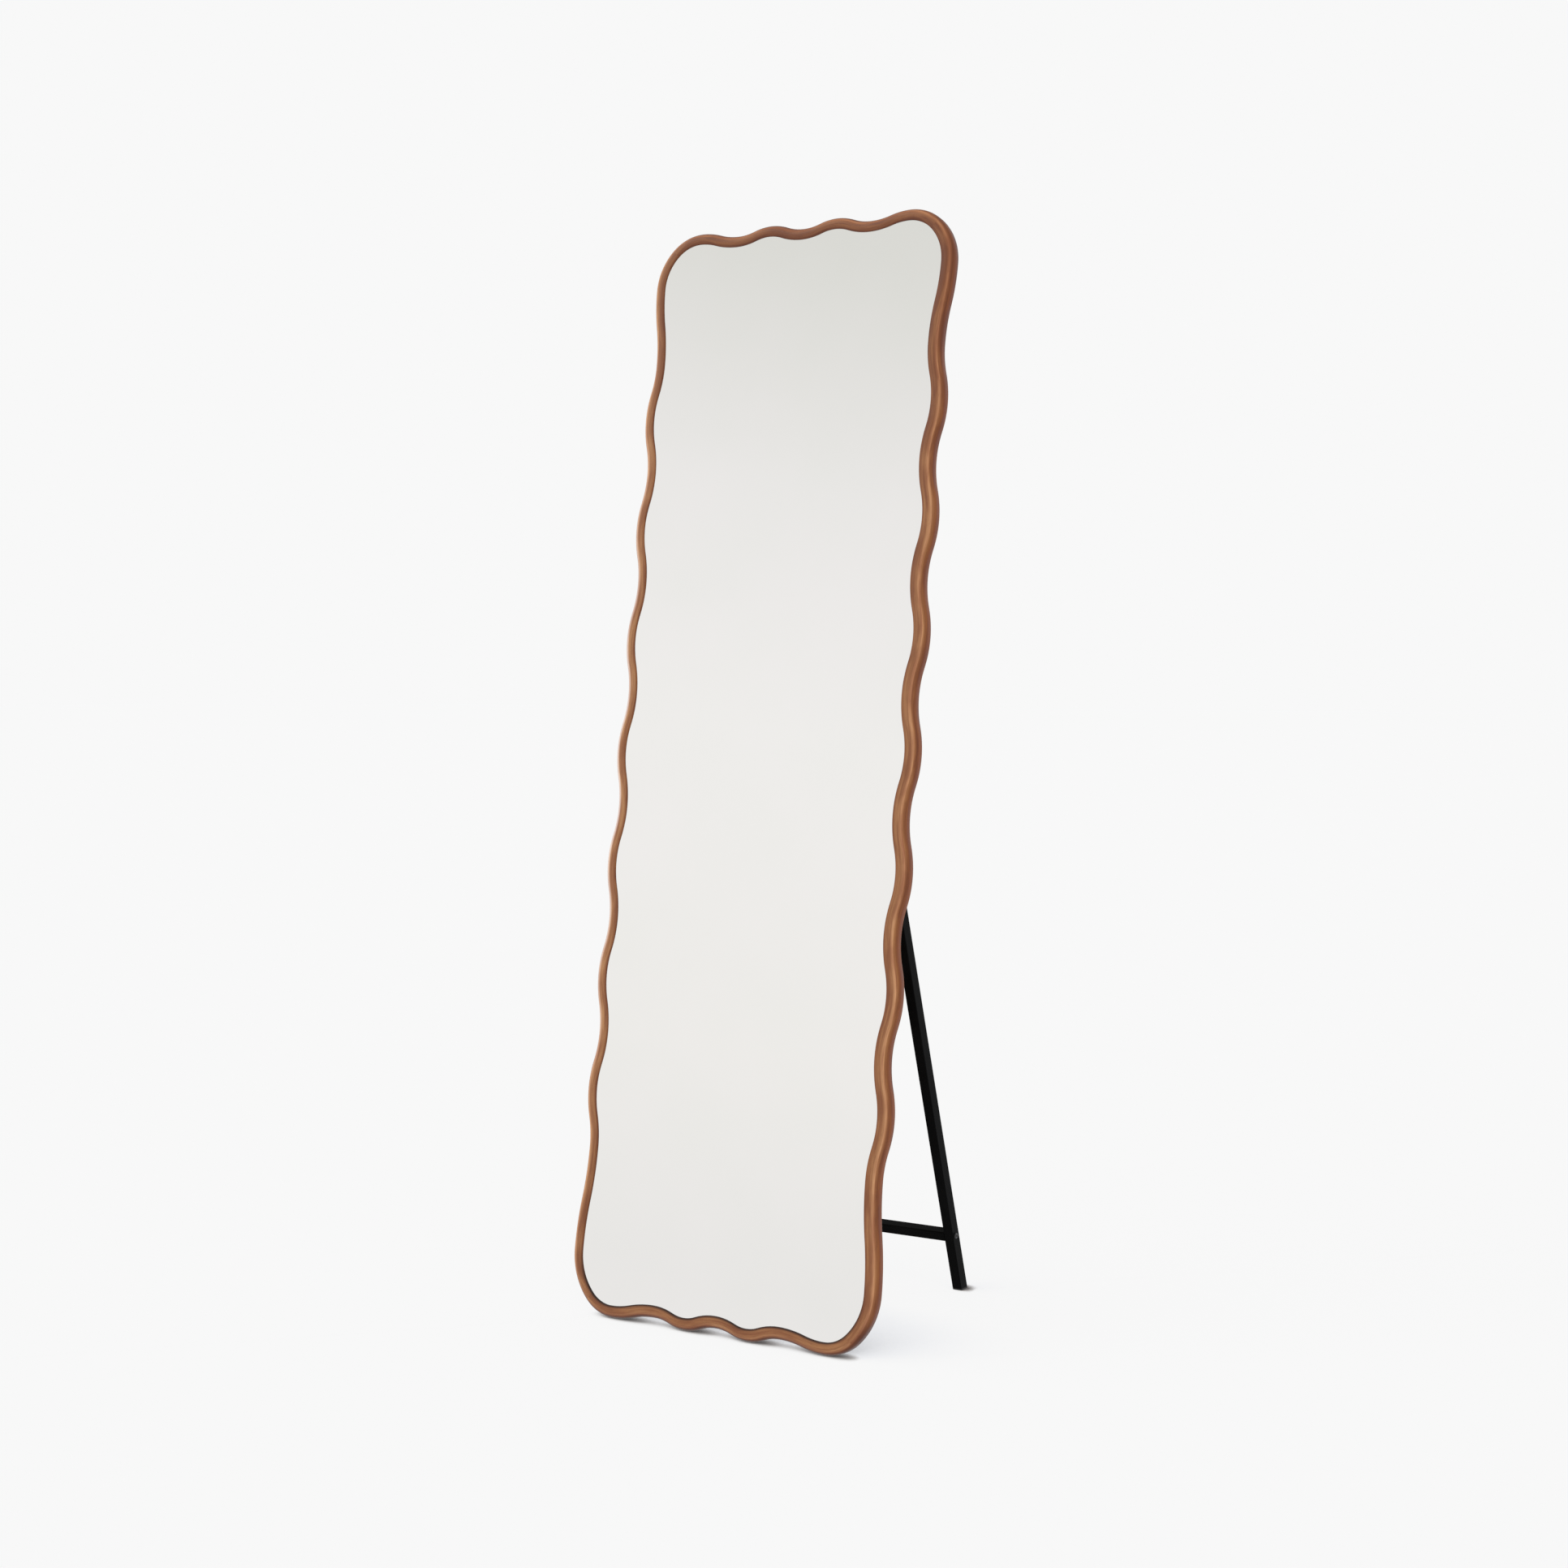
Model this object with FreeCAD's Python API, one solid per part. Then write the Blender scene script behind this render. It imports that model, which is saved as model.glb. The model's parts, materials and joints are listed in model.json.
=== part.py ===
import FreeCAD, Part
import math
import os

# Wavy-framed floor mirror, leaning back on a folding stand. Millimetres, degrees.
# X runs to the viewer's right, Y to the back, Z up. The origin is on the floor,
# in the middle of the rectangle that the mirror covers there.
Vector = FreeCAD.Vector

# Overall size and posture
frame_height = 1600
frame_width = 500
lean_angle = 8.9
stand_tilt = 18.7

# Wave of the outline, measured on its outer edge
side_wave_length = 166
side_wave_depth = 11
side_wave_rise = 20
top_wave_length = 111
bottom_wave_length = 103
end_wave_depth = 10
corner_width = 75
top_corner_height = 82
bottom_corner_height = 90

# Section of the frame
moulding_width = 18
moulding_depth = 20
outer_round = 11
front_fall = 0.7
inner_round = 0.7
lip_depth = 2.4
lip_reach = 6
back_wall = 6
back_chamfer = 1

# Glass, foam and backing board
glass_thickness = 4
glass_gap = 0.5
foam_thickness = 1.6
foam_size = 40
foam_margin = 95
foam_pitch = 300
board_thickness = 9
board_gap = 0.5

# Dowels at the four corner joints
dowel_diameter = 3
dowel_length = 20
front_dowel_inset = 7
front_dowel_depth = 5
rear_dowel_inset = 3.5
rear_dowel_depth = 13

# Screws that hold the board in the frame
board_screw_inset = 9.6
board_screw_diameter = 2.6
board_screw_head = 4.6
board_screw_length = 14

# Stand: legs and crossbar of steel tube
leg_inset = 66
leg_width = 15
leg_depth = 20
tube_wall = 1.2
tube_round = 1.5
crossbar_size = 15
crossbar_height = 94

# Plugs in the tube ends
cap_thickness = 1.5
cap_insert = 5
foot_thickness = 2.5
foot_insert = 20
foot_round = 1
plug_gap = 0.1
end_insert_length = 18

# Hinge of the stand
pivot_height = 767
pivot_standoff = 13
stop_gap = 0.3
bracket_thickness = 2
bracket_width = 48
bracket_length = 60
ear_radius = 8
pivot_diameter = 6
pivot_clearance = 0.05
running_gap = 0.4
bush_diameter = 8
bush_flange = 13
bush_flange_thickness = 1
bush_length = 5
bolt_head_diameter = 11
bolt_head_height = 3.5
bolt_end = 1
nut_width = 10
nut_height = 6
socket_width = 4
socket_depth = 2

# Screws of the brackets and of the crossbar
bracket_screw_diameter = 3.5
bracket_screw_head = 7
bracket_screw_head_height = 2
bracket_screw_length = 9
bracket_screw_edge = 6
crossbar_screw_diameter = 5
crossbar_screw_clearance = 0.1
crossbar_screw_head = 9
crossbar_screw_head_height = 2.6
crossbar_screw_grip = 14
crossbar_socket_width = 3
crossbar_socket_depth = 1.5

# How far cutting tools run past what they cut
overrun = 5

# Places that follow from the sizes above
glass_back = lip_depth + glass_thickness
step_depth = glass_back + foam_thickness
board_back = step_depth + board_thickness
glass_inset = moulding_width - lip_reach + glass_gap
board_inset = back_wall + board_gap
leg_offset = frame_width / 2 - leg_inset
lean = math.radians(lean_angle)
tilt = math.radians(stand_tilt)
opening_angle = lean_angle + stand_tilt
opening = math.radians(opening_angle)

up = Vector(0, 0, 1)
across = Vector(1, 0, 0)


def turned(vector, angle):
    """The vector, turned by an angle about Z, in radians."""
    cosine = math.cos(angle)
    sine = math.sin(angle)
    return Vector(vector.x * cosine - vector.y * sine, vector.x * sine + vector.y * cosine, vector.z)


def inward(heading):
    """Unit vector to the left of a heading, which is the inside of the outline."""
    return Vector(-math.sin(heading), math.cos(heading), 0)


class Bend:
    """One arc of the outline. Its turn is positive where the outline bulges out."""

    def __init__(self, start, heading, radius, turn):
        self.start = start
        self.heading = heading
        self.turn = turn
        side = math.copysign(radius, turn)
        self.centre = start + inward(heading) * side
        self.end = self.centre + turned(start - self.centre, turn)

    def point(self, share, inset, depth):
        """A point at a share of the arc, set in from the edge and back from the front."""
        place = self.centre + turned(self.start - self.centre, self.turn * share)
        place = place + inward(self.heading + self.turn * share) * inset
        return Vector(place.x, place.y, -depth)

    def edge(self, inset, depth):
        points = [self.point(share, inset, depth) for share in (0, 1 / 2, 1)]
        return Part.Arc(*points).toShape()


def half_wave(length, depth):
    """Radius and turn of the two equal arcs that step sideways by depth over length."""
    turn = 2 * math.atan(depth / length)
    return length / (2 * math.sin(turn)), turn


def waves_before(run, half_length, last_is_even):
    """How many half waves fit in a run that keeps one more for the way into the corner."""
    count = int(run / half_length - 1)
    if (count % 2 == 0) != last_is_even:
        count = count - 1
    return max(count, 0 if last_is_even else 1)


def flank(run, half_length, depth, starts_on_bulge):
    """Turns from the middle of an edge to where its corner starts."""
    count = waves_before(run, half_length, not starts_on_bulge)
    radius, turn = half_wave(half_length, depth)
    sign = 1 if starts_on_bulge else -1
    turns = []
    for number in range(count):
        turns = turns + [(radius, sign * turn), (radius, -sign * turn)]
        sign = -sign
    radius, turn = half_wave(run - count * half_length, depth)
    return turns + [(radius, -turn), (radius, turn)]


def merged(turns):
    """Neighbouring turns of one radius and side become one."""
    result = []
    for radius, turn in turns:
        if result and result[-1][0] == radius and result[-1][1] * turn > 0:
            result[-1] = (radius, result[-1][1] + turn)
        else:
            result.append((radius, turn))
    return result


def corner_radii(width, height):
    """Radii of a corner's two arcs, upright edge first, which meet at 45 degrees."""
    shift = (height - width) / (2 - math.sqrt(2))
    return width + shift, height - shift


def trace(start, heading, turns):
    bends = []
    for radius, turn in turns:
        bends.append(Bend(start, heading, radius, turn))
        start = bends[-1].end
        heading = heading + turn
    return bends


def outline():
    """The four members of the outline, each a list of bends, anticlockwise from the front."""
    half_width = frame_width / 2
    wave_middle = frame_height / 2 + side_wave_rise
    eighth = math.pi / 4
    low_radius, low_end_radius = corner_radii(corner_width, bottom_corner_height)
    high_radius, high_end_radius = corner_radii(corner_width, top_corner_height)

    run_up = frame_height - wave_middle - top_corner_height
    run_down = wave_middle - bottom_corner_height
    run_out = half_width - corner_width
    rise = flank(run_up, side_wave_length / 2, side_wave_depth, True)
    fall = flank(run_down, side_wave_length / 2, side_wave_depth, True)
    top = flank(run_out, top_wave_length / 2, end_wave_depth, False)
    bottom = flank(run_out, bottom_wave_length / 2, end_wave_depth, False)

    low = [(low_radius, eighth)]
    high = [(high_radius, eighth)]
    low_end = [(low_end_radius, eighth)]
    high_end = [(high_end_radius, eighth)]
    right_turns = merged(low + fall[::-1] + rise + high)
    left_turns = merged(high + rise[::-1] + fall + low)
    top_turns = merged(high_end + top[::-1] + top + high_end)
    bottom_turns = merged(low_end + bottom[::-1] + bottom + low_end)

    corner = Vector(half_width - low_radius, bottom_corner_height, 0)
    start = corner + turned(across, -eighth) * low_radius
    right = trace(start, eighth, right_turns)
    upper = trace(right[-1].end, 3 * eighth, top_turns)
    left = trace(upper[-1].end, 5 * eighth, left_turns)
    lower = trace(left[-1].end, 7 * eighth, bottom_turns)
    print("outline closes within", (lower[-1].end - start).Length)
    return {"right_stile": right, "top_rail": upper, "left_stile": left, "bottom_rail": lower}


members = outline()
whole_outline = sum(members.values(), [])


def section(bend, share):
    """Edges of the moulding's section at a share of a bend, as one closed ring."""
    def at(inset, depth):
        return bend.point(share, inset, depth)

    def line(first, second):
        return Part.LineSegment(at(*first), at(*second)).toShape()

    def arc(first, middle, second):
        return Part.Arc(at(*first), at(*middle), at(*second)).toShape()

    slant = math.sqrt(1 / 2)
    crown = (outer_round, 0)
    brow_inset = moulding_width - inner_round
    brow = (brow_inset, front_fall)
    brow_turn = 2 * math.atan(front_fall / (brow_inset - outer_round))
    brow_radius = (brow_inset - outer_round) / math.sin(brow_turn)
    brow_middle = (outer_round + brow_radius * math.sin(brow_turn / 2),
                   brow_radius * (1 - math.cos(brow_turn / 2)))
    sight = (moulding_width, front_fall + inner_round)
    sight_middle = (brow_inset + inner_round * slant, front_fall + inner_round * (1 - slant))
    side = (0, outer_round)
    side_middle = (outer_round * (1 - slant), outer_round * (1 - slant))
    rebate = moulding_width - lip_reach
    corners = [sight, (moulding_width, lip_depth), (rebate, lip_depth), (rebate, step_depth),
               (back_wall, step_depth), (back_wall, moulding_depth), (back_chamfer, moulding_depth),
               (0, moulding_depth - back_chamfer), side]
    edges = [arc(side, side_middle, crown), arc(crown, brow_middle, brow)]
    edges.append(arc(brow, sight_middle, sight))
    for first, second in zip(corners, corners[1:]):
        edges.append(line(first, second))
    return edges


def moulding(bends):
    """A length of moulding: its section carried round each bend, closed by two flat ends."""
    faces = []
    for bend in bends:
        turn = math.degrees(bend.turn)
        for edge in section(bend, 0):
            faces.append(edge.revolve(bend.centre, up, turn))
    for bend, share in ((bends[0], 0), (bends[-1], 1)):
        faces.append(Part.Face(Part.Wire(Part.sortEdges(section(bend, share))[0])))
    shell = Part.makeCompound(faces)
    shell.sewShape()
    solid = Part.Solid(shell.Shells[0])
    if solid.Volume < 0:
        solid.reverse()
    return solid


def sheet(inset, front, thickness):
    """A flat sheet that follows the outline, set in from its edge."""
    wire = Part.Wire([bend.edge(inset, front) for bend in whole_outline])
    return Part.Face(wire).extrude(-up * thickness)


def rod(start, direction, radius, length):
    return Part.makeCylinder(radius, length, start, direction)


def screw_head(seat, direction, diameter, height, rounding):
    """A round head that stands on its seat, its far rim rounded."""
    head = rod(seat, direction, diameter / 2, height)
    top = seat + direction * height
    rim = [edge for edge in head.Edges if (edge.CenterOfMass - top).Length < height / 2]
    return head.makeFillet(rounding, rim)


def dowel_places():
    """Start and direction of the dowels through each joint between two members."""
    front = (front_dowel_inset, front_dowel_depth)
    rear = (rear_dowel_inset, rear_dowel_depth)
    places = []
    for bends in members.values():
        joint = bends[0]
        along = turned(across, joint.heading)
        for inset, depth in (front, rear):
            places.append((joint.point(0, inset, depth) - along * dowel_length / 2, along))
    return places


def board_screw_places():
    """Points on the board's back, at the sides' bulges and at the top's and bottom's valleys."""
    places = []
    side = frame_width / 2 - board_screw_inset
    middle = frame_height / 2 + side_wave_rise
    half_length = side_wave_length / 2
    above = waves_before(frame_height - middle - top_corner_height, half_length, False)
    below = waves_before(middle - bottom_corner_height, half_length, False)
    for number in range(1 - below, above, 2):
        for sign in (-1, 1):
            places.append(Vector(sign * side, middle + number * half_length, -board_back))
    valley = end_wave_depth + board_screw_inset
    for length, height in ((top_wave_length, frame_height - valley), (bottom_wave_length, valley)):
        count = waves_before(frame_width / 2 - corner_width, length / 2, True)
        for number in range(-count, count + 1, 2):
            places.append(Vector(number * length / 2, height, -board_back))
    return places


def board_screw(place):
    """Countersunk screw with its head flush with the board's back."""
    head = board_screw_head / 2
    shank = board_screw_diameter / 2
    cone = Part.makeCone(head, shank, head - shank, place, up)
    return cone.fuse(rod(place, up, shank, board_screw_length))


def foam_places():
    """Centres of the pads, in two columns between the glass and the board."""
    side = frame_width / 2 - foam_margin
    count = int((frame_height - 2 * foam_margin) / foam_pitch)
    start = frame_height / 2 - count * foam_pitch / 2
    return [Vector(sign * side, start + number * foam_pitch, -step_depth)
            for number in range(count + 1) for sign in (-1, 1)]


def foam_pad(place):
    corner = place - Vector(foam_size / 2, foam_size / 2, 0)
    return Part.makeBox(foam_size, foam_size, foam_thickness, corner)


# Hinge bracket: a plate on the board's back, with two ears that hold the pivot bolt
pivot_depth = moulding_depth + pivot_standoff
plate_back = board_back + bracket_thickness
ear_spacing = leg_width + 2 * (bush_flange_thickness + running_gap)
ear_outside = ear_spacing + 2 * bracket_thickness


def bracket(side):
    centre = Vector(side * leg_offset, pivot_height, -plate_back)
    corner = centre - Vector(bracket_width / 2, bracket_length / 2, 0)
    shape = Part.makeBox(bracket_width, bracket_length, bracket_thickness, corner)
    pivot = Vector(centre.x, pivot_height, -pivot_depth)
    reach = pivot_depth - plate_back
    for sign in (-1, 1):
        inner = sign * ear_spacing / 2
        outer = sign * ear_outside / 2
        left = centre.x + min(inner, outer)
        corner = Vector(left, pivot_height - ear_radius, -pivot_depth)
        ear = Part.makeBox(bracket_thickness, 2 * ear_radius, reach, corner)
        round_end = rod(Vector(left, pivot_height, -pivot_depth), across, ear_radius, bracket_thickness)
        shape = shape.fuse(ear.fuse(round_end))
    bore = pivot_diameter / 2 + pivot_clearance
    shape = shape.cut(rod(pivot - across * ear_outside, across, bore, 2 * ear_outside))
    for place in bracket_screw_places(side):
        shape = shape.cut(rod(place - up * overrun, up, bracket_screw_diameter / 2, 2 * overrun))
    return shape.removeSplitter()


def bracket_screw_places(side):
    """Points on the bracket's back, one at each corner of its plate."""
    step_x = bracket_width / 2 - bracket_screw_edge
    step_y = bracket_length / 2 - bracket_screw_edge
    return [Vector(side * leg_offset + x * step_x, pivot_height + y * step_y, -plate_back)
            for x in (-1, 1) for y in (-1, 1)]


def bracket_screw(place):
    """Pan-head screw with a low domed head on the bracket's back."""
    shank = rod(place, up, bracket_screw_diameter / 2, bracket_screw_length)
    height = bracket_screw_head_height
    return shank.fuse(screw_head(place, -up, bracket_screw_head, height, height * 2 / 3))


def pivot_bolt(side):
    """Button-head bolt through both ears, its head on the outer ear."""
    middle = Vector(side * leg_offset, pivot_height, -pivot_depth)
    out = across * side
    seat = middle + out * ear_outside / 2
    shank_length = ear_outside + nut_height + bolt_end
    shank = rod(seat, -out, pivot_diameter / 2, shank_length)
    head = screw_head(seat, out, bolt_head_diameter, bolt_head_height, bolt_head_height * 2 / 3)
    floor = seat + out * (bolt_head_height - socket_depth)
    socket = hexagon(floor, out, socket_width, socket_depth + overrun)
    return shank.fuse(head).cut(socket)


def hexagon(start, direction, width, length):
    """A six-sided bar whose flats are a width apart, along a direction parallel to X."""
    radius = width / math.sqrt(3)
    corners = []
    for number in range(7):
        angle = math.radians(60 * number)
        corners.append(start + Vector(0, radius * math.cos(angle), radius * math.sin(angle)))
    return Part.Face(Part.makePolygon(corners)).extrude(direction * length)


def pivot_nut(side):
    """Lock nut on the inner ear."""
    out = across * side
    seat = Vector(side * leg_offset, pivot_height, -pivot_depth) - out * ear_outside / 2
    nut = hexagon(seat, -out, nut_width, nut_height)
    return nut.cut(rod(seat + out * overrun, -out, pivot_diameter / 2, nut_height + 2 * overrun))


# The stand is drawn with the pivot at its origin and the legs along Z, then tilted
floor_lift = (moulding_depth - back_chamfer) * math.sin(lean)
pivot_up = pivot_height * math.cos(lean) - pivot_depth * math.sin(lean) + floor_lift
pivot_back = pivot_height * math.sin(lean) + pivot_depth * math.cos(lean)
head_reach = pivot_depth - plate_back - stop_gap - leg_depth / 2 * math.cos(opening)
leg_top = head_reach / math.sin(opening)


def sole(y, height):
    """How far down the leg a horizontal plane at a height above the floor cuts it."""
    return (height - pivot_up - y * math.sin(tilt)) / math.cos(tilt)


def leg_block(half_width, half_depth, top, foot_height):
    """A bar along the leg, cut level at the foot."""
    corners = [(-half_depth, top), (half_depth, top), (half_depth, sole(half_depth, foot_height)),
               (-half_depth, sole(-half_depth, foot_height)), (-half_depth, top)]
    face = Part.Face(Part.makePolygon([Vector(-half_width, y, z) for y, z in corners]))
    return face.extrude(across * 2 * half_width)


def rounded(block, radius):
    """The bar with its long edges rounded."""
    long_edges = [edge for edge in block.Edges
                  if abs(edge.tangentAt(edge.FirstParameter).z) > 1 - 1e-6]
    return block.makeFillet(radius, long_edges)


def crossbar_middle():
    """Place of the crossbar's axis along the leg and front to back."""
    return sole(0, 0) + crossbar_height, -leg_depth / 2 + crossbar_size / 2


def leg(side):
    """Leg tube with its bush holes and the two holes for the crossbar's screw."""
    wall_x = leg_width / 2 - tube_wall
    wall_y = leg_depth / 2 - tube_wall
    top = leg_top - cap_thickness
    outer = rounded(leg_block(leg_width / 2, leg_depth / 2, top, foot_thickness), tube_round)
    inner = leg_block(wall_x, wall_y, top + overrun, -overrun)
    tube = outer.cut(inner)
    tube = tube.cut(rod(-across * leg_width, across, bush_diameter / 2, 2 * leg_width))
    height, back = crossbar_middle()
    screw_hole = crossbar_screw_diameter / 2 + crossbar_screw_clearance
    tube = tube.cut(rod(Vector(-leg_width, back, height), across, screw_hole, 2 * leg_width))
    return tube.translated(across * side * leg_offset)


def leg_cap(side):
    """Plastic cap in the leg's top end."""
    top = leg_top - cap_thickness
    full = rounded(leg_block(leg_width / 2, leg_depth / 2, leg_top, foot_thickness), tube_round)
    corner = Vector(-leg_width / 2, -leg_depth / 2, top)
    cover = full.common(Part.makeBox(leg_width, leg_depth, cap_thickness, corner))
    half_x = leg_width / 2 - tube_wall - plug_gap
    half_y = leg_depth / 2 - tube_wall - plug_gap
    corner = Vector(-half_x, -half_y, top - cap_insert)
    insert = Part.makeBox(2 * half_x, 2 * half_y, cap_insert, corner)
    return cover.fuse(insert).translated(across * side * leg_offset)


def foot_plug(side):
    """Rubber foot: a level sole of the tube's outline, and a shank up inside the tube."""
    bar = rounded(leg_block(leg_width / 2, leg_depth / 2, 0, 0), tube_round)
    rim = [edge for edge in bar.Edges
           if all(corner.Z < sole(corner.Y, foot_round) for corner in edge.Vertexes)]
    above = leg_block(leg_width, leg_depth, overrun, foot_thickness)
    tread = bar.makeFillet(foot_round, rim).cut(above)
    half_x = leg_width / 2 - tube_wall - plug_gap
    half_y = leg_depth / 2 - tube_wall - plug_gap
    shank = leg_block(half_x, half_y, sole(0, foot_thickness) + foot_insert, foot_thickness)
    return tread.fuse(shank).translated(across * side * leg_offset)


def bush(side, sign):
    """Flanged nylon bush in one wall of the leg."""
    outward = across * sign
    wall = across * (side * leg_offset + sign * leg_width / 2)
    shape = rod(wall - outward * bush_length, outward, bush_diameter / 2, bush_length)
    shape = shape.fuse(rod(wall, outward, bush_flange / 2, bush_flange_thickness))
    bore = pivot_diameter / 2 + pivot_clearance
    length = bush_length + bush_flange_thickness + 2 * overrun
    return shape.cut(rod(wall - outward * (bush_length + overrun), outward, bore, length))


def crossbar():
    """Square tube between the legs, flush with their front faces."""
    height, back = crossbar_middle()
    half_length = leg_offset - leg_width / 2
    half = crossbar_size / 2
    corner = Vector(-half_length, back - half, height - half)
    outer = Part.makeBox(2 * half_length, crossbar_size, crossbar_size, corner)
    long_edges = [edge for edge in outer.Edges if edge.BoundBox.XLength > half_length]
    outer = outer.makeFillet(tube_round, long_edges)
    bore = crossbar_size - 2 * tube_wall
    corner = Vector(-half_length - overrun, back - bore / 2, height - bore / 2)
    return outer.cut(Part.makeBox(2 * (half_length + overrun), bore, bore, corner))


def crossbar_insert(side):
    """Threaded block in one end of the crossbar."""
    height, back = crossbar_middle()
    half = crossbar_size / 2 - tube_wall
    end = leg_offset - leg_width / 2
    left = min(side * end, side * (end - end_insert_length))
    corner = Vector(left, back - half, height - half)
    block = Part.makeBox(end_insert_length, 2 * half, 2 * half, corner)
    hole = rod(Vector(left - overrun, back, height), across, crossbar_screw_diameter / 2,
               end_insert_length + 2 * overrun)
    return block.cut(hole)


def crossbar_screw(side):
    """Pan-head screw through the leg into the crossbar's threaded block."""
    height, back = crossbar_middle()
    out = across * side
    seat = Vector(side * (leg_offset + leg_width / 2), back, height)
    shank = rod(seat, -out, crossbar_screw_diameter / 2, leg_width + crossbar_screw_grip)
    rise = crossbar_screw_head_height
    head = screw_head(seat, out, crossbar_screw_head, rise, rise * 2 / 3)
    floor = seat + out * (rise - crossbar_socket_depth)
    socket = hexagon(floor, out, crossbar_socket_width, crossbar_socket_depth + overrun)
    return shank.fuse(head).cut(socket)


# Where the mirror and the stand stand on the floor
front_reach = outer_round * (math.sin(lean) + math.cos(lean) - 1)
heel = leg_depth / 2
back_reach = pivot_back + heel * math.cos(tilt) - sole(heel, 0) * math.sin(tilt)
middle_shift = -(front_reach + back_reach) / 2


def leaned(shape):
    """A piece of the mirror, leaned back and set on the floor."""
    shape = shape.copy()
    shape.rotate(Vector(0, 0, 0), across, 90 - lean_angle)
    shape.translate(Vector(0, middle_shift, floor_lift))
    return shape


def stood(shape):
    """A piece of the stand, tilted and hung on the pivot."""
    shape = shape.copy()
    shape.rotate(Vector(0, 0, 0), across, stand_tilt)
    shape.translate(Vector(0, pivot_back + middle_shift, pivot_up))
    return shape


def build():
    pieces = {}
    dowels = [rod(start, along, dowel_diameter / 2, dowel_length) for start, along in dowel_places()]
    board_screws = [board_screw(place) for place in board_screw_places()]
    bracket_screws = [bracket_screw(place) for side in (-1, 1) for place in bracket_screw_places(side)]

    for name, bends in members.items():
        pieces[name] = leaned(moulding(bends).cut(dowels + board_screws))
    pieces["corner_dowels"] = leaned(Part.makeCompound(dowels))
    pieces["mirror_glass"] = leaned(sheet(glass_inset, lip_depth, glass_thickness))
    pieces["foam_pads"] = leaned(Part.makeCompound([foam_pad(place) for place in foam_places()]))
    board = sheet(board_inset, step_depth, board_thickness)
    pieces["backing_board"] = leaned(board.cut(board_screws + bracket_screws))
    pieces["board_screws"] = leaned(Part.makeCompound(board_screws))
    pieces["bracket_screws"] = leaned(Part.makeCompound(bracket_screws))
    pieces["pivot_nuts"] = leaned(Part.makeCompound([pivot_nut(side) for side in (-1, 1)]))
    for name, side in (("left", -1), ("right", 1)):
        pieces[name + "_hinge_bracket"] = leaned(bracket(side))
        pieces[name + "_pivot_bolt"] = leaned(pivot_bolt(side))
        pieces[name + "_leg"] = stood(leg(side))
        pieces[name + "_leg_cap"] = stood(leg_cap(side))
        pieces[name + "_foot"] = stood(foot_plug(side))
    bushes = [bush(side, sign) for side in (-1, 1) for sign in (-1, 1)]
    pieces["pivot_bushes"] = stood(Part.makeCompound(bushes))
    pieces["crossbar"] = stood(crossbar())
    pieces["crossbar_inserts"] = stood(Part.makeCompound([crossbar_insert(side) for side in (-1, 1)]))
    pieces["crossbar_screws"] = stood(Part.makeCompound([crossbar_screw(side) for side in (-1, 1)]))
    return pieces


os.makedirs("parts", exist_ok=True)
for node, piece in build().items():
    piece.exportStep("parts/" + node + ".step")
    print(node, len(piece.Solids), piece.isValid(), round(piece.Volume))
print("pivot", round(pivot_back + middle_shift, 4), round(pivot_up, 4), "opens", opening_angle)
print("sole", leg_offset, round(pivot_back + middle_shift + pivot_up * math.tan(tilt), 4))
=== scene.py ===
import json
import math

import bpy
from mathutils import Matrix, Vector


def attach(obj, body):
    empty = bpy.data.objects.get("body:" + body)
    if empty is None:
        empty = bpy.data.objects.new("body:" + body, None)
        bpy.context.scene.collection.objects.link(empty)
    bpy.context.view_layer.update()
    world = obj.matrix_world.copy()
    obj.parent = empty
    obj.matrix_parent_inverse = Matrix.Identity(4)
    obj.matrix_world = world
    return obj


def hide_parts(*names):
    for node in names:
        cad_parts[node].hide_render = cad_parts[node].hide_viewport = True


# Wavy floor mirror on a folding stand, dressed for a picture. Blender works in metres, and
# the dictionaries give sizes in millimetres and angles in degrees where no note says otherwise.
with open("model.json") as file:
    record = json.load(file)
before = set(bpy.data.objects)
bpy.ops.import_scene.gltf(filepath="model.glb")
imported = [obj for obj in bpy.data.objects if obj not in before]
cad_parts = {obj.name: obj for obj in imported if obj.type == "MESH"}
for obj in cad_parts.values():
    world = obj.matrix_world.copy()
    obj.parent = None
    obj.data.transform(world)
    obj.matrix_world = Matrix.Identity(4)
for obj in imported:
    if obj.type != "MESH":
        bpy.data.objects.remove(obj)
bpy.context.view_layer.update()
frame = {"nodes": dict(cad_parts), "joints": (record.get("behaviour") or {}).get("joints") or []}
nodes = frame["nodes"]
mm = 0.001
print("frame loaded:", len(nodes), "nodes")


# The mirror is modelled lying flat, face up, its bottom edge on the X axis,
# and is then leaned back and set down where the hinge of the frame says.
stance = {
    "lean": 8.9,
    "backEdge": 19,  # depth of the edge that the frame stands on
    "hingeUp": 767,  # from the bottom edge
    "hingeBack": 33,  # from the front
}


def stanceMatrix():
    lean = math.radians(stance["lean"])
    hinge = frame["joints"][0]["pos_m"]
    reach = stance["hingeUp"] * math.sin(lean) + stance["hingeBack"] * math.cos(lean)
    lift = stance["backEdge"] * math.sin(lean)
    place = Matrix.Translation((0, hinge[1] - reach * mm, lift * mm))
    return place @ Matrix.Rotation(math.pi / 2 - lean, 4, "X")


standing = stanceMatrix()


# Helpers for selecting, placing and painting.
def only(obj):
    bpy.ops.object.select_all(action="DESELECT")
    obj.select_set(True)
    bpy.context.view_layer.objects.active = obj


def editMode(obj):
    only(obj)
    bpy.ops.object.mode_set(mode="EDIT")


def objectMode():
    bpy.ops.object.mode_set(mode="OBJECT")


def applyPlace(obj, matrix):
    only(obj)
    obj.matrix_world = matrix @ obj.matrix_world
    bpy.ops.object.transform_apply(location=True, rotation=True, scale=True)


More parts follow.
